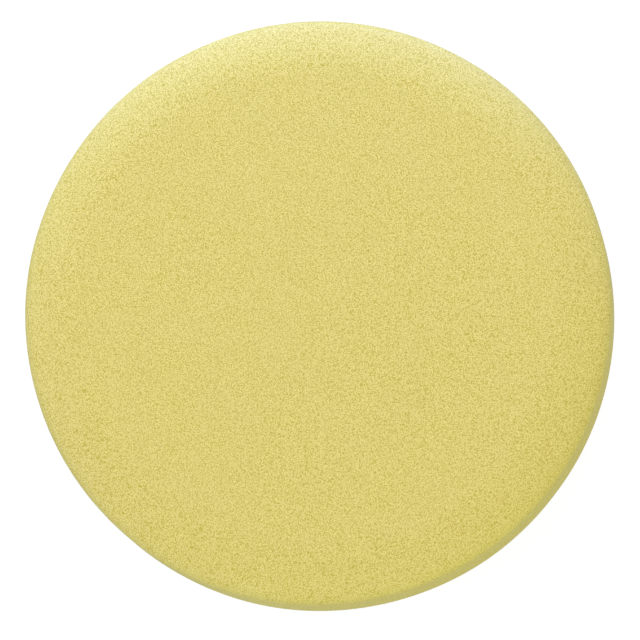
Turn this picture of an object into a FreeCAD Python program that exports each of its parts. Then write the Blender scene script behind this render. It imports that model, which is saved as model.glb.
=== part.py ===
import FreeCAD, Part
import Sketcher
import math
import os

# Foam polishing pad for a rotary or dual-action polisher: a round open-cell foam disc with a
# flat working face and a rounded rim, bonded to a slightly smaller disc of loop fabric that
# grips the hooked face of a backing plate.
#
# Frame: millimetres, +Z up. The origin is the centre of the loop face, which meets the
# backing plate. The pad lies on its loops, and its working face looks up +Z.
#
# The stack, from Z = 0 upwards: loop pile, knitted ground, bond film, foam. The pieces meet
# face to face, as they do once the film has melted and set.

# Alias, value in millimetres, meaning.
DRIVING_DIMENSIONS = (
    ("pad_diameter", 150.0, "outside of the foam"),
    ("foam_thickness", 25.0, "foam alone, from the bond film to the working face"),
    ("rim_width", 15.0, "rounded rim, from the flat of the working face to the outside"),
    ("crown_radius", 30.0, "arc that leaves the flat of the working face"),
    ("corner_radius", 4.5, "arc that carries the crown into the side wall"),
    ("back_chamfer", 0.8, "broken edge between the side wall and the glued face"),
    ("fabric_setback", 2.5, "foam left standing past the fabric, all the way round"),
    ("film_setback", 0.5, "fabric left standing past the bond film"),
    ("film_thickness", 0.2, "hot-melt film between the foam and the fabric"),
    ("ground_thickness", 0.5, "knitted ground that carries the loops"),
    ("pile_height", 1.5, "loops, from their tips to the ground"),
    ("tip_rounding", 0.6, "how far the outermost loops lean in at their tips"),
)

# Sizes worked out from the driving dimensions, as spreadsheet expressions.
FOAM_RADIUS = "Dims.pad_diameter / 2"
FABRIC_RADIUS = "Dims.pad_diameter / 2 - Dims.fabric_setback"
FILM_RADIUS = "Dims.pad_diameter / 2 - Dims.fabric_setback - Dims.film_setback"
PILE_LEVEL = "0 mm"
GROUND_LEVEL = "Dims.pile_height"
FILM_LEVEL = "Dims.pile_height + Dims.ground_thickness"
FOAM_LEVEL = "Dims.pile_height + Dims.ground_thickness + Dims.film_thickness"

# Sketcher's own numbers for the points of a line or arc, and for its origin and Y axis.
START = 1
END = 2
CENTRE = 3
ORIGIN = (-1, START)
VERTICAL_AXIS = -2

# The sketches as first drawn. Their constraints then move them to the driven sizes.
DRAWN_RADIUS = 50.0
AXIS_LOW = FreeCAD.Vector(0, 2.2)
AXIS_HIGH = FreeCAD.Vector(0, 27.2)
FLAT_END = FreeCAD.Vector(60, 27.2)
CROWN_CENTRE = FreeCAD.Vector(60, -2.8)
CORNER_CENTRE = FreeCAD.Vector(71.7, 21.2)
WALL_HIGH = FreeCAD.Vector(75, 21.2)
WALL_LOW = FreeCAD.Vector(75, 2.2)
UP = FreeCAD.Vector(0, 0, 1)

FULL_TURN = 360.0
SAME_LEVEL = 1e-6
OVERLAP_LIMIT = 1e-3


def add_dimensions(doc):
    """The spreadsheet that holds the driving dimensions, one row each."""
    sheet = doc.addObject("Spreadsheet::Sheet", "Dims")
    for row, (alias, value, meaning) in enumerate(DRIVING_DIMENSIONS, start=1):
        sheet.set(f"A{row}", alias)
        sheet.set(f"B{row}", str(value))
        sheet.set(f"C{row}", meaning)
        sheet.setAlias(f"B{row}", alias)
    doc.recompute()


def add_sketch(body, name, role):
    """An empty sketch on one of the body's own origin planes."""
    planes = body.Origin.OriginFeatures
    base_plane = next(plane for plane in planes if plane.Role == role)
    sketch = body.newObject("Sketcher::SketchObject", name)
    sketch.AttachmentSupport = [(base_plane, "")]
    sketch.MapMode = "FlatFace"
    return sketch


def fix(sketch, kind, *where):
    """Add a constraint that has no size of its own."""
    sketch.addConstraint(Sketcher.Constraint(kind, *where))


def drive(sketch, name, size, kind, *where):
    """Add a named size, drawn as the last of where, and bind it to the spreadsheet."""
    number = sketch.addConstraint(Sketcher.Constraint(kind, *where))
    sketch.renameConstraint(number, name)
    sketch.setExpression(f"Constraints.{name}", size)


def add_circle(body, name, radius, level):
    """A circle about Z on the body's own XY plane, lifted to its level."""
    sketch = add_sketch(body, name, "XY_Plane")
    sketch.setExpression("AttachmentOffset.Base.z", level)
    circle = sketch.addGeometry(Part.Circle(FreeCAD.Vector(), UP, DRAWN_RADIUS))
    fix(sketch, "Coincident", circle, CENTRE, *ORIGIN)
    drive(sketch, "outer_radius", radius, "Radius", circle, DRAWN_RADIUS)
    return sketch


def add_disc(doc, label, radius, level, thickness):
    """One piece of the stack: a circle at its level, padded up by its thickness."""
    body = doc.addObject("PartDesign::Body", label)
    body.Label = label
    body.Placement = FreeCAD.Placement()
    pad = body.newObject("PartDesign::Pad", f"{label}_blank")
    pad.Profile = add_circle(body, f"{label}_outline", radius, level)
    pad.setExpression("Length", thickness)
    doc.recompute()
    return body


def bottom_rim(body):
    """Name of the circular edge round the body's bottom face."""
    level = body.Shape.BoundBox.ZMin
    for number, edge in enumerate(body.Shape.Edges, start=1):
        heights = [vertex.Z for vertex in edge.Vertexes]
        if all(abs(height - level) < SAME_LEVEL for height in heights):
            return f"Edge{number}"
    raise RuntimeError(f"{body.Label} has no rim at {level} mm")


def dress_bottom_rim(doc, body, kind, size_property, size):
    """Put a fillet or a chamfer on the body's bottom rim."""
    blank = body.Tip
    edge = bottom_rim(body)
    feature = body.newObject(f"PartDesign::{kind}", f"{body.Label}_{kind.lower()}")
    feature.Base = (blank, [edge])
    feature.setExpression(size_property, size)
    doc.recompute()


def loop_pile(doc):
    """The standing loops, as the thin round mat that they fill."""
    body = add_disc(doc, "loop_pile", FABRIC_RADIUS, PILE_LEVEL, "Dims.pile_height")
    dress_bottom_rim(doc, body, "Fillet", "Radius", "Dims.tip_rounding")
    return body


def backing_fabric(doc):
    """The knitted ground that the loops stand on."""
    return add_disc(doc, "backing_fabric", FABRIC_RADIUS, GROUND_LEVEL, "Dims.ground_thickness")


def bond_film(doc):
    """The hot-melt film that holds the fabric to the foam."""
    return add_disc(doc, "bond_film", FILM_RADIUS, FILM_LEVEL, "Dims.film_thickness")


def foam_section(body):
    """Half of the foam's section: flat face, crown, corner, side wall, glued face and axis."""
    sketch = add_sketch(body, "foam_section", "XZ_Plane")
    across = CORNER_CENTRE - CROWN_CENTRE
    meet = math.atan2(across.y, across.x)
    crown_circle = Part.Circle(CROWN_CENTRE, UP, (FLAT_END - CROWN_CENTRE).Length)
    corner_circle = Part.Circle(CORNER_CENTRE, UP, (WALL_HIGH - CORNER_CENTRE).Length)
    face = sketch.addGeometry(Part.LineSegment(AXIS_HIGH, FLAT_END))
    crown = sketch.addGeometry(Part.ArcOfCircle(crown_circle, meet, math.pi / 2))
    corner = sketch.addGeometry(Part.ArcOfCircle(corner_circle, 0, meet))
    wall = sketch.addGeometry(Part.LineSegment(WALL_HIGH, WALL_LOW))
    back = sketch.addGeometry(Part.LineSegment(WALL_LOW, AXIS_LOW))
    axis = sketch.addGeometry(Part.LineSegment(AXIS_LOW, AXIS_HIGH))
    fix(sketch, "Coincident", axis, END, face, START)
    fix(sketch, "Tangent", face, END, crown, END)
    fix(sketch, "Tangent", crown, START, corner, END)
    fix(sketch, "Tangent", corner, START, wall, START)
    fix(sketch, "Coincident", wall, END, back, START)
    fix(sketch, "Coincident", back, END, axis, START)
    fix(sketch, "PointOnObject", axis, START, VERTICAL_AXIS)
    fix(sketch, "PointOnObject", axis, END, VERTICAL_AXIS)
    fix(sketch, "Horizontal", face)
    fix(sketch, "Vertical", wall)
    fix(sketch, "Horizontal", back)
    drive(sketch, "outer_radius", FOAM_RADIUS, "DistanceX", axis, START, back, START, WALL_LOW.x)
    drive(sketch, "back_level", FOAM_LEVEL, "DistanceY", *ORIGIN, axis, START, AXIS_LOW.y)
    thickness = AXIS_HIGH.y - AXIS_LOW.y
    drive(sketch, "thickness", "Dims.foam_thickness", "DistanceY", axis, START, axis, END, thickness)
    rim_width = WALL_HIGH.x - FLAT_END.x
    drive(sketch, "rim_width", "Dims.rim_width", "DistanceX", face, END, wall, START, rim_width)
    drive(sketch, "crown_radius", "Dims.crown_radius", "Radius", crown, crown_circle.Radius)
    drive(sketch, "corner_radius", "Dims.corner_radius", "Radius", corner, corner_circle.Radius)
    return sketch


def foam_disc(doc):
    """The foam, turned from its section, with its back edge broken."""
    body = doc.addObject("PartDesign::Body", "foam_disc")
    body.Label = "foam_disc"
    body.Placement = FreeCAD.Placement()
    section = foam_section(body)
    blank = body.newObject("PartDesign::Revolution", "foam_blank")
    blank.Profile = section
    blank.ReferenceAxis = (section, ["V_Axis"])
    blank.Angle = FULL_TURN
    doc.recompute()
    dress_bottom_rim(doc, body, "Chamfer", "Size", "Dims.back_chamfer")
    return body


def check_document(doc):
    """Stop if any feature failed to compute."""
    for feature in doc.Objects:
        if {"Invalid", "Error"} & set(feature.State):
            raise RuntimeError(f"{feature.Name} failed: {feature.State}")


def check_pieces(pieces):
    """Stop if a piece isn't one valid solid, or if two pieces run into each other."""
    for piece in pieces:
        shape = piece.Shape
        if shape.isNull() or not shape.isValid() or len(shape.Solids) != 1:
            raise RuntimeError(f"{piece.Label} isn't one valid solid")
    for lower, upper in zip(pieces, pieces[1:]):
        if lower.Shape.common(upper.Shape).Volume > OVERLAP_LIMIT:
            raise RuntimeError(f"{lower.Label} runs into {upper.Label}")


def write_parts(pieces):
    """One STEP file for each piece, named after it."""
    os.makedirs("parts", exist_ok=True)
    for piece in pieces:
        piece.Shape.exportStep(f"parts/{piece.Label}.step")
        box = piece.Shape.BoundBox
        print(f"{piece.Label}: {piece.Shape.Volume / 1000:.2f} cm3, Z {box.ZMin:.2f} to {box.ZMax:.2f}")


def main():
    doc = FreeCAD.newDocument("polishing_pad")
    add_dimensions(doc)
    pieces = [loop_pile(doc), backing_fabric(doc), bond_film(doc), foam_disc(doc)]
    check_document(doc)
    check_pieces(pieces)
    write_parts(pieces)


main()
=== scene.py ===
import math
import random

import bpy
from mathutils import Matrix, Vector, noise


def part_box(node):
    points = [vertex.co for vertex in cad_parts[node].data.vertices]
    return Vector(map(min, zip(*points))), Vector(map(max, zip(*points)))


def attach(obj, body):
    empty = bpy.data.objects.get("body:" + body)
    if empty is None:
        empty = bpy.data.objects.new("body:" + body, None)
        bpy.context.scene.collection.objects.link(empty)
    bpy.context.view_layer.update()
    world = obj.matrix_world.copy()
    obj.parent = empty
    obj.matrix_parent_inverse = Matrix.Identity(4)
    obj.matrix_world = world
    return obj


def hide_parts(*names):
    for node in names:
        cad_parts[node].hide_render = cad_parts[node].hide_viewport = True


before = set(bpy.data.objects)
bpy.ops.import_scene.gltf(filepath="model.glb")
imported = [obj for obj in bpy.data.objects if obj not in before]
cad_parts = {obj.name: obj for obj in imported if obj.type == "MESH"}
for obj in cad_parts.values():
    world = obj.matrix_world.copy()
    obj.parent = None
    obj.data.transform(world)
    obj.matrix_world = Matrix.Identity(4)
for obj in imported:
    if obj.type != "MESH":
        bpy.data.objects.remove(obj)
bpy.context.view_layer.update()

# Everything is in metres, in the frame's own axes: +Z from the loop face to the working face.
MM = 0.001
foam_low, foam_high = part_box("foam_disc")
film_low, film_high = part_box("bond_film")
knit_low, knit_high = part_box("backing_fabric")
pile_low, pile_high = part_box("loop_pile")

# Foam: a flat face, a rim of two arcs, a straight wall and a broken back edge.
FOAM_RADIUS = foam_high.x
RIM_WIDTH = 15 * MM
CROWN_RADIUS = 30 * MM
CORNER_RADIUS = 4.5 * MM
BACK_CHAMFER = 0.8 * MM
FACE_CELLS = 204
CROWN_RINGS = 20
CORNER_RINGS = 9
WALL_RINGS = 30
BACK_STEPS = (0.99, 0.97, 0.9, 0.7, 0.35)

# Unevenness of the foam's skin, in millimetres. Each wave is its depth, the size of its blobs
# and a shift of its noise along X. The first two are a soft swell, the others the small cells.
SKIN_WAVES = ((0.10, 34, 0), (0.02, 9, 7), (0.002, 1.7, 0), (0.002, 1.1, 0))
PORE_SPACING = 5.2
PORE_RADIUS = 0.75
PORE_DEPTH = 0.10
# The glued face stays flat: corners lower than this above the foam's underside don't move.
GLUED_FACE_BAND = 0.1 * MM

# Bond film: rows of corners round its section, as shares of its radius and of its height.
FILM_CORNERS = 360
FILM_ROWS = ((0.2, 1), (0.7, 1), (0.97, 1), (1.0, 0.5), (0.97, 0), (0.7, 0), (0.2, 0))
FILM_EDGE = 0.9
FILM_WANDER = 0.35 * MM
FILM_WANDER_TURNS = 14

# Knitted ground: one ridge for each wale, with a few columns of corners across it.
KNIT_RADIUS = 72.5 * MM
WALE = 1.35 * MM
COURSE = 1.9 * MM
COLUMNS_PER_WALE = 4
KNIT_ROWS = 110
RIDGE = 0.12 * MM
STITCH_SLANT = 0.25
STITCH_SHARE = 0.2
# The first and last columns stop just short of the rim, so that they have a length.
KNIT_REACH = 0.9999

# Loops of the pile, each a bent three-sided yarn.
LOOP_SEED = 7
LOOP_STEPS = 5
YARN_RADIUS = 0.12 * MM
YARN_SIDES = 3
LOOP_EDGE = 0.5 * MM
LOOP_BELLY = 0.3
LOOP_WIDTHS = (0.9, 1.5)
LOOP_HEIGHTS = (0.8, 1.0)
TIP_CLEARANCE = 1.2 * YARN_RADIUS

# How the loops stray from their rows, as (mean, spread): millimetres, and radians for the turn.
STRAY_ACROSS = (0, 0.12)
STRAY_ALONG = (0, 0.2)
STRAY_TURN = (math.pi / 2, 0.6)
LEAN_ACROSS = (0.25, 0.3)
LEAN_ALONG = (0, 0.3)


# ---------------------------------------------------------------- mesh helpers

def make_object(name, points, faces, smooth=True):
    """A mesh object in the scene's own collection."""
    mesh = bpy.data.meshes.new(name)
    mesh.from_pydata(points, [], faces)
    mesh.validate()
    mesh.polygons.foreach_set("use_smooth", [smooth] * len(mesh.polygons))
    piece = bpy.data.objects.new(name, mesh)
    bpy.context.scene.collection.objects.link(piece)
    return piece


def square_to_disc(across, up):
    """A point of the square from -1 to 1, moved to the unit disc so that cells stay even."""
    if across == 0 and up == 0:
        return 0.0, 0.0
    if abs(across) > abs(up):
        radius, turn = across, math.pi / 4 * up / across
    else:
        radius, turn = up, math.pi / 2 - math.pi / 4 * across / up
    return radius * math.cos(turn), radius * math.sin(turn)


def disc_grid(cells, radius, height):
    """Corners and faces of an even disc of cells by cells quads, and its rim in order."""
    count = cells + 1
    points = []
    for row in range(count):
        for column in range(count):
            x, y = square_to_disc(2 * column / cells - 1, 2 * row / cells - 1)
            points.append((radius * x, radius * y, height))
    faces = []
    for row in range(cells):
        for column in range(cells):
            corner = row * count + column
            faces.append((corner, corner + 1, corner + count + 1, corner + count))
    rim = list(range(cells))
    rim += [row * count + cells for row in range(cells)]
    rim += [cells * count + cells - column for column in range(cells)]
    rim += [(cells - row) * count for row in range(cells)]
    return points, faces, rim


def add_rings(points, faces, rim, rings):
    """Carry the mesh on from its rim through rings, each a (radius, height) pair."""
    for radius, height in rings:
        new_rim = []
        for index in rim:
            x, y, _ = points[index]
            scale = radius / math.hypot(x, y)
            new_rim.append(len(points))
            points.append((x * scale, y * scale, height))
        for here in range(len(rim)):
            after = (here + 1) % len(rim)
            faces.append((rim[after], rim[here], new_rim[here], new_rim[after]))
        rim = new_rim
    return rim


def close_with_fan(points, faces, rim, height):
    """Close a rim with triangles to a point on the axis."""
    centre = len(points)
    points.append((0, 0, height))
    for here in range(len(rim)):
        after = (here + 1) % len(rim)
        faces.append((rim[after], rim[here], centre))


# ---------------------------------------------------------------- foam

def foam_profile():
    """Rings of the foam from the edge of the flat face, over the rim and down to the back.

    The rim is two arcs that meet in line: a wide crown off the flat, then a tight corner.
    """
    crown_centre = Vector((FOAM_RADIUS - RIM_WIDTH, foam_high.z - CROWN_RADIUS))
    corner_out = FOAM_RADIUS - CORNER_RADIUS - crown_centre.x
    meet = math.asin(corner_out / (CROWN_RADIUS - CORNER_RADIUS))
    corner_height = crown_centre.y + (CROWN_RADIUS - CORNER_RADIUS) * math.cos(meet)
    corner_centre = Vector((FOAM_RADIUS - CORNER_RADIUS, corner_height))
    rings = []
    for step in range(1, CROWN_RINGS + 1):
        turn = meet * step / CROWN_RINGS
        rings.append(crown_centre + CROWN_RADIUS * Vector((math.sin(turn), math.cos(turn))))
    for step in range(1, CORNER_RINGS + 1):
        turn = meet + (math.pi / 2 - meet) * step / CORNER_RINGS
        rings.append(corner_centre + CORNER_RADIUS * Vector((math.sin(turn), math.cos(turn))))
    wall_end = foam_low.z + BACK_CHAMFER
    for step in range(1, WALL_RINGS + 1):
        share = step / WALL_RINGS
        rings.append((FOAM_RADIUS, corner_height + (wall_end - corner_height) * share))
    rings.append((FOAM_RADIUS - BACK_CHAMFER, foam_low.z))
    rings += [((FOAM_RADIUS - BACK_CHAMFER) * share, foam_low.z) for share in BACK_STEPS]
    return rings


def roughen_foam(piece):
    """Move the foam's skin in and out: a soft unevenness, coarse cells and a few open pores."""
    mesh = piece.data
    normals = [vertex.normal.copy() for vertex in mesh.vertices]
    for vertex, normal in zip(mesh.vertices, normals):
        if vertex.co.z < foam_low.z + GLUED_FACE_BAND:
            continue
        place = vertex.co / MM
        skin = 0.0
        for depth, size, shift in SKIN_WAVES:
            skin += depth * noise.noise(place / size + Vector((shift, 0, 0)))
        distances = noise.voronoi(place / PORE_SPACING, distance_metric="DISTANCE")[0]
        nearest = distances[0] * PORE_SPACING
        pore = -PORE_DEPTH * max(0.0, 1 - nearest / PORE_RADIUS)
        vertex.co += normal * (skin + pore) * MM
    mesh.update()


def build_foam():
    """The foam disc: an even grid on its flat face, then rings over the rim to the back."""
    points, faces, rim = disc_grid(FACE_CELLS, FOAM_RADIUS - RIM_WIDTH, foam_high.z)
    rim = add_rings(points, faces, rim, foam_profile())
    close_with_fan(points, faces, rim, foam_low.z)
    piece = make_object("foam", points, faces)
    roughen_foam(piece)
    return piece


# ---------------------------------------------------------------- bond film

def build_film():
    """The glue line: a thin disc whose rim wanders where the film squeezed out."""
    count = FILM_CORNERS
    points = []
    faces = []
    for share, up in FILM_ROWS:
        for step in range(count):
            turn = 2 * math.pi * step / count
            along = Vector((math.cos(turn), math.sin(turn), 0))
            squeeze = 0
            if share > FILM_EDGE:
                squeeze = FILM_WANDER * noise.noise(along * FILM_WANDER_TURNS)
            spot = along * (film_high.x * share + squeeze)
            points.append((spot.x, spot.y, film_low.z + (film_high.z - film_low.z) * up))
    for row in range(len(FILM_ROWS) - 1):
        for step in range(count):
            after = (step + 1) % count
            here = row * count
            faces.append((here + step, here + count + step, here + count + after, here + after))
    last = (len(FILM_ROWS) - 1) * count
    faces.append(tuple(range(count)))
    faces.append(tuple(reversed(range(last, last + count))))
    return make_object("bond_film_line", points, faces)


# ---------------------------------------------------------------- loop fabric

def knit_relief(x, y):
    """How far the ground's underside stands down at a point: ribs of slanted stitches."""
    rib = math.cos(2 * math.pi * x / WALE)
    stitch = math.cos(2 * math.pi * (y / COURSE + STITCH_SLANT * rib))
    return RIDGE * (0.5 + 0.5 * rib) * (1 - STITCH_SHARE + STITCH_SHARE * stitch)


def build_knit():
    """The knitted ground: a thin closed sheet, plain on top and ribbed underneath."""
    columns = round(2 * KNIT_RADIUS / WALE * COLUMNS_PER_WALE)
    layers = []
    points = []
    for layer in (0, 1):
        rows = []
        for column in range(columns + 1):
            x = KNIT_RADIUS * (-1 + 2 * column / columns) * KNIT_REACH
            reach = math.sqrt(KNIT_RADIUS**2 - x**2)
            line = []
            for row in range(KNIT_ROWS + 1):
                y = reach * (2 * row / KNIT_ROWS - 1)
                z = knit_high.z if layer else knit_low.z + RIDGE - knit_relief(x, y)
                line.append(len(points))
                points.append((x, y, z))
            rows.append(line)
        layers.append(rows)
    faces = []
    for layer, rows in enumerate(layers):
        for left, right in zip(rows, rows[1:]):
            for row in range(KNIT_ROWS):
                face = (left[row], right[row], right[row + 1], left[row + 1])
                faces.append(face if layer else face[::-1])
    below, above = layers
    for column in range(columns):
        for row, turn in ((0, 1), (KNIT_ROWS, -1)):
            under = (below[column][row], below[column + 1][row])
            over = (above[column + 1][row], above[column][row])
            faces.append((under + over)[::turn])
    for column, turn in ((0, -1), (columns, 1)):
        for row in range(KNIT_ROWS):
            under = (below[column][row], below[column][row + 1])
            over = (above[column][row + 1], above[column][row])
            faces.append((under + over)[::turn])
    return make_object("knit_ground", points, faces)


def add_loop(points, faces, foot, heading, width, height, lean):
    """One loop of yarn: down from the ground, round and back up, as a three-sided tube."""
    down = Vector((0, 0, -1))
    flat = heading.cross(down)
    line = []
    for step in range(LOOP_STEPS + 1):
        turn = math.pi * step / LOOP_STEPS
        drop = math.sin(turn)
        side = -math.cos(turn) * width / 2 * (1 + LOOP_BELLY * drop)
        line.append(foot + heading * side + down * height * drop + lean * drop)
    start = len(points)
    for step, spot in enumerate(line):
        ahead = line[min(step + 1, LOOP_STEPS)] - line[max(step - 1, 0)]
        outward = ahead.cross(flat).normalized()
        for side in range(YARN_SIDES):
            turn = 2 * math.pi * side / YARN_SIDES
            points.append(spot + YARN_RADIUS * (outward * math.cos(turn) + flat * math.sin(turn)))
    for step in range(LOOP_STEPS):
        for side in range(YARN_SIDES):
            after = (side + 1) % YARN_SIDES
            here = start + step * YARN_SIDES
            there = here + YARN_SIDES
            faces.append((here + side, there + side, there + after, here + after))


def build_loops():
    """Rows of loops that stand down from the ground, leaning and turned a little at random."""
    chance = random.Random(LOOP_SEED)
    points = []
    faces = []
    reach = KNIT_RADIUS - LOOP_EDGE
    root_height = pile_high.z + RIDGE
    tallest = root_height - pile_low.z - TIP_CLEARANCE
    for wale in range(-round(reach / WALE), round(reach / WALE) + 1):
        for course in range(-round(reach / COURSE), round(reach / COURSE) + 1):
            x = wale * WALE + chance.gauss(*STRAY_ACROSS) * MM
            y = (course + 0.5 * (wale % 2)) * COURSE + chance.gauss(*STRAY_ALONG) * MM
            turn = chance.gauss(*STRAY_TURN)
            width = chance.uniform(*LOOP_WIDTHS) * MM
            height = chance.uniform(*LOOP_HEIGHTS) * tallest
            lean = Vector((chance.gauss(*LEAN_ACROSS), chance.gauss(*LEAN_ALONG), 0)) * MM
            if math.hypot(x, y) > reach:
                continue
            heading = Vector((math.cos(turn), math.sin(turn), 0))
            add_loop(points, faces, Vector((x, y, root_height)), heading, width, height, lean)
    return make_object("loops", points, faces)


# ---------------------------------------------------------------- material helpers

class Tree:
    """A material's nodes, with short ways to add and join them."""

    def __init__(self, name):
        self.material = bpy.data.materials.new(name)
        self.material.use_nodes = True
        self.nodes = self.material.node_tree.nodes
        self.links = self.material.node_tree.links
        self.shader = self.nodes["Principled BSDF"]
        self.place = self.nodes.new("ShaderNodeTexCoord").outputs["Object"]

    def set(self, **values):
        """Constants on the shader's own sockets, named with underscores for spaces."""
        for name, value in values.items():
            self.shader.inputs[name.replace("_", " ")].default_value = value

    def join(self, source, socket):
        """Give a socket a colour, a number or another node's output."""
        if isinstance(source, tuple):
            socket.default_value = (*source, 1)
        elif isinstance(source, (int, float)):
            socket.default_value = source
        else:
            self.links.new(source, socket)

    def stretched(self, x, y, z):
        """Object coordinates with each axis multiplied."""
        node = self.nodes.new("ShaderNodeMapping")
        node.inputs["Scale"].default_value = (x, y, z)
        self.links.new(self.place, node.inputs["Vector"])
        return node.outputs["Vector"]

    def noise(self, size, detail=2.0, roughness=0.5, place=None):
        """Noise whose blobs are about size metres across, from 0 to 1."""
        node = self.nodes.new("ShaderNodeTexNoise")
        node.inputs["Scale"].default_value = 1 / size
        node.inputs["Detail"].default_value = detail
        node.inputs["Roughness"].default_value = roughness
        self.links.new(place or self.place, node.inputs["Vector"])
        return node.outputs["Fac"]

    def cells(self, size):
        """Distance from the middle of the nearest of a crowd of cells, 0 at each middle."""
        node = self.nodes.new("ShaderNodeTexVoronoi")
        node.inputs["Scale"].default_value = 1 / size
        self.links.new(self.place, node.inputs["Vector"])
        return node.outputs["Distance"]

    def ramp(self, value, low, high, to_low=0.0, to_high=1.0):
        """value from low to high, mapped to a range and held inside it."""
        node = self.nodes.new("ShaderNodeMapRange")
        self.join(value, node.inputs["Value"])
        node.inputs["From Min"].default_value = low
        node.inputs["From Max"].default_value = high
        node.inputs["To Min"].default_value = to_low
        node.inputs["To Max"].default_value = to_high
        return node.outputs["Result"]

    def math(self, operation, first, second):
        """The result of one operation on two values, each a number or an output."""
        node = self.nodes.new("ShaderNodeMath")
        node.operation = operation
        self.join(first, node.inputs[0])
        self.join(second, node.inputs[1])
        return node.outputs["Value"]

    def mix(self, factor, first, second):
        """A colour from first to second, each a colour or an output."""
        node = self.nodes.new("ShaderNodeMix")
        node.data_type = "RGBA"
        self.join(factor, node.inputs["Factor"])
        colours = [socket for socket in node.inputs if socket.type == "RGBA"]
        self.join(first, colours[0])
        self.join(second, colours[1])
        return next(socket for socket in node.outputs if socket.type == "RGBA")

    def bump(self, height, depth):
        """Shade the surface as if height, from 0 to 1, stood depth metres proud."""
        node = self.nodes.new("ShaderNodeBump")
        node.inputs["Distance"].default_value = depth
        self.links.new(height, node.inputs["Height"])
        self.links.new(node.outputs["Normal"], self.shader.inputs["Normal"])


# ---------------------------------------------------------------- materials

def foam_material():
    """Yellow open-cell foam: a fine net of pale struts round darker cells."""
    tree = Tree("foam_yellow")
    cells = tree.cells(0.33 * MM)
    fine = tree.noise(0.20 * MM, detail=2, roughness=0.6)
    grain = tree.math("ADD", cells, tree.math("MULTIPLY", fine, 0.5))
    depth = tree.ramp(grain, 0.29, 1.11)
    net = tree.mix(depth, (0.97, 0.845, 0.31), (0.54, 0.415, 0.03))
    cloud = tree.ramp(tree.noise(14 * MM), 0.3, 0.7, 0.0, 0.08)
    speck = tree.ramp(tree.cells(4.5 * MM), 0.05, 0.08, 0.35, 0.0)
    clouded = tree.mix(cloud, net, (0.66, 0.58, 0.20))
    tree.join(tree.mix(speck, clouded, (0.36, 0.27, 0.05)), tree.shader.inputs["Base Color"])
    tree.set(Roughness=0.5, Specular_IOR_Level=0.42)
    tree.set(Sheen_Weight=0.12, Sheen_Roughness=0.35, Sheen_Tint=(0.95, 1.0, 0.35, 1))
    tree.bump(tree.math("SUBTRACT", 1.0, depth), 0.05 * MM)
    return tree.material


def film_material():
    """Set hot-melt film: waxy, honey coloured, with faint flow marks."""
    tree = Tree("film_amber")
    flow = tree.noise(2.5 * MM, detail=3)
    honey = tree.mix(flow, (0.80, 0.72, 0.45), (0.66, 0.56, 0.30))
    tree.join(honey, tree.shader.inputs["Base Color"])
    tree.join(tree.ramp(flow, 0.3, 0.7, 0.3, 0.5), tree.shader.inputs["Roughness"])
    tree.bump(flow, 0.05 * MM)
    return tree.material


def knit_material():
    """Grey-white knitted ground: fine yarns that run with the wales."""
    tree = Tree("knit_grey")
    yarns = tree.noise(0.3 * MM, detail=3, place=tree.stretched(1.0, 0.3, 1.0))
    shade = tree.noise(11 * MM)
    yarn_colour = tree.mix(yarns, (0.42, 0.42, 0.40), (0.60, 0.60, 0.57))
    colour = tree.mix(tree.ramp(shade, 0.3, 0.7, 0.0, 0.2), yarn_colour, (0.46, 0.45, 0.41))
    tree.join(colour, tree.shader.inputs["Base Color"])
    tree.set(Roughness=0.85, Specular_IOR_Level=0.25, Sheen_Weight=0.2, Sheen_Roughness=0.4)
    tree.bump(yarns, 0.08 * MM)
    return tree.material


def loop_material():
    """Brushed nylon loops: off-white yarn with a soft gloss and a little variation."""
    tree = Tree("loop_nylon")
    strands = tree.noise(0.12 * MM, detail=2)
    patches = tree.noise(2.2 * MM, detail=2)
    half_strands = tree.math("MULTIPLY", strands, 0.5)
    half_patches = tree.math("MULTIPLY", patches, 0.5)
    tone = tree.math("ADD", half_strands, half_patches)
    colour = tree.mix(tree.ramp(tone, 0.3, 0.7), (0.62, 0.62, 0.60), (0.88, 0.88, 0.85))
    tree.join(colour, tree.shader.inputs["Base Color"])
    tree.join(tree.ramp(strands, 0.3, 0.7, 0.4, 0.6), tree.shader.inputs["Roughness"])
    tree.set(Sheen_Weight=0.25, Sheen_Roughness=0.3)
    tree.bump(strands, 0.03 * MM)
    return tree.material


# ---------------------------------------------------------------- studio

CAMERA_TILT = math.radians(8.2)
CAMERA_SIDE = math.radians(-58)
CAMERA_DISTANCE = 1.9
CAMERA_AIM = Vector((0.08, -1.2, 13.6)) * MM
HALF_VIEW = 81.9 * MM
SENSOR_WIDTH = 36
FLOOR_HALF = 20.0
FLOOR_GLOW = 0.84

# Light of the room by height: the sine of the elevation from -1 to 1, and the strength there.
# The narrow bright band at the horizon carries the white floor on to where the view ends.
ROOM_LIGHT = (
    (-1.0, 0.42),
    (-0.05, 0.44),
    (-0.035, 1.10),
    (0.02, 1.10),
    (0.035, 0.44),
    (0.17, 0.56),
    (0.5, 0.98),
    (0.8, 0.66),
    (1.0, 0.48),
)

# Lamps: name, azimuth and elevation in degrees, distance, width and height in metres, power in
# watts, colour.
LAMPS = (
    ("rim_light", 92, 13, 0.32, 0.50, 0.15, 0.92, (0.57, 0.82, 2.05)),
    ("key", 115, 35, 1.4, 0.7, 0.7, 2.7, (0.98, 0.78, 0.10)),
    ("fill_left", 195, 28, 1.4, 0.7, 0.7, 2.8, (0.95, 1.32, 2.65)),
    ("fill_right", 300, 60, 1.4, 0.7, 0.7, 2.3, (0.99, 0.95, 1.20)),
    ("low_warm", 302, 8, 1.4, 0.9, 0.5, 3.5, (0.72, 0.97, 0.02)),
)


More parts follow.
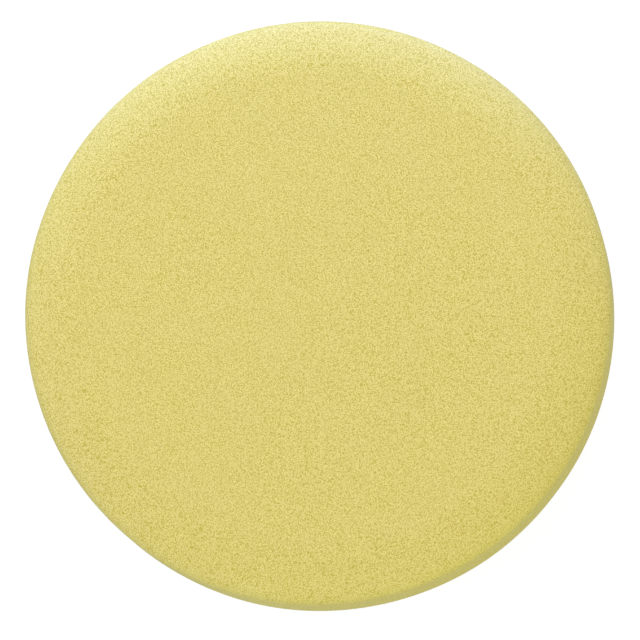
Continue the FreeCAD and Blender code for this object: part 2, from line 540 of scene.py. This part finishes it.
def add_camera():
    """A long lens almost straight above the face, leaning over the near right of the rim."""
    data = bpy.data.cameras.new("camera")
    data.sensor_width = SENSOR_WIDTH
    data.lens = SENSOR_WIDTH / 2 * CAMERA_DISTANCE / HALF_VIEW
    camera = bpy.data.objects.new("camera", data)
    bpy.context.scene.collection.objects.link(camera)
    lean = math.sin(CAMERA_TILT)
    back = Vector((math.cos(CAMERA_SIDE), math.sin(CAMERA_SIDE), 0)) * lean
    back.z = math.cos(CAMERA_TILT)
    right = Vector((0, 1, 0)).cross(back).normalized()
    up = back.cross(right)
    turn = Matrix((right, up, back)).transposed().to_4x4()
    camera.matrix_world = Matrix.Translation(CAMERA_AIM + back * CAMERA_DISTANCE) @ turn
    bpy.context.scene.camera = camera


def add_floor():
    """A plain white floor. It shows, and takes the pad's shadow, but throws no light back.

    It doesn't block the light of the room below it either.
    """
    half = FLOOR_HALF
    corners = [(-half, -half, 0), (half, -half, 0), (half, half, 0), (-half, half, 0)]
    floor = make_object("floor", corners, [(0, 1, 2, 3)], smooth=False)
    tree = Tree("floor_white")
    tree.set(Base_Color=(0.25, 0.25, 0.25, 1), Roughness=1.0, Specular_IOR_Level=0.0)
    tree.set(Emission_Color=(1, 1, 1, 1), Emission_Strength=FLOOR_GLOW)
    floor.data.materials.append(tree.material)
    floor.visible_diffuse = False
    floor.visible_glossy = False
    floor.visible_shadow = False


def add_room():
    """A pale room whose light is softest at the floor and strongest half-way up."""
    world = bpy.data.worlds.new("room")
    world.use_nodes = True
    bpy.context.scene.world = world
    nodes, links = world.node_tree.nodes, world.node_tree.links
    sky = nodes.new("ShaderNodeTexCoord")
    axes = nodes.new("ShaderNodeSeparateXYZ")
    share = nodes.new("ShaderNodeMapRange")
    share.inputs["From Min"].default_value = -1
    bands = nodes.new("ShaderNodeValToRGB")
    stops = bands.color_ramp.elements
    for height, _ in ROOM_LIGHT[1:-1]:
        stops.new((height + 1) / 2)
    for stop, (_, light) in zip(stops, ROOM_LIGHT):
        stop.color = (light, light, light, 1)
    links.new(sky.outputs["Generated"], axes.inputs["Vector"])
    links.new(axes.outputs["Z"], share.inputs["Value"])
    links.new(share.outputs["Result"], bands.inputs["Fac"])
    links.new(bands.outputs["Color"], nodes["Background"].inputs["Color"])


def add_lamp(name, azimuth, elevation, distance, width, height, power, colour):
    """A soft rectangular lamp that faces the pad. It lights without showing or glinting."""
    lamp = bpy.data.lights.new(name, "AREA")
    lamp.shape = "RECTANGLE"
    lamp.size = width
    lamp.size_y = height
    lamp.energy = power
    lamp.color = colour
    holder = bpy.data.objects.new(name, lamp)
    bpy.context.scene.collection.objects.link(holder)
    around, rise = math.radians(azimuth), math.radians(elevation)
    flat = math.cos(rise)
    place = distance * Vector((math.cos(around) * flat, math.sin(around) * flat, math.sin(rise)))
    holder.location = place
    holder.rotation_euler = (-place).to_track_quat("-Z", "Y").to_euler()
    holder.visible_camera = False
    holder.visible_glossy = False


# ---------------------------------------------------------------- assembly

def finish_piece(piece, material, node):
    """Give the piece its material, hide the part it stands in for, and hang it on the root body
    it rides on.
    """
    piece.data.materials.append(material)
    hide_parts(node)
    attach(piece, "root")


add_camera()
add_floor()
add_room()
for lamp_facts in LAMPS:
    add_lamp(*lamp_facts)
bpy.context.scene.view_settings.view_transform = "Standard"

foam = build_foam()
film = build_film()
knit = build_knit()
loops = build_loops()
finish_piece(foam, foam_material(), "foam_disc")
finish_piece(film, film_material(), "bond_film")
finish_piece(knit, knit_material(), "backing_fabric")
finish_piece(loops, loop_material(), "loop_pile")
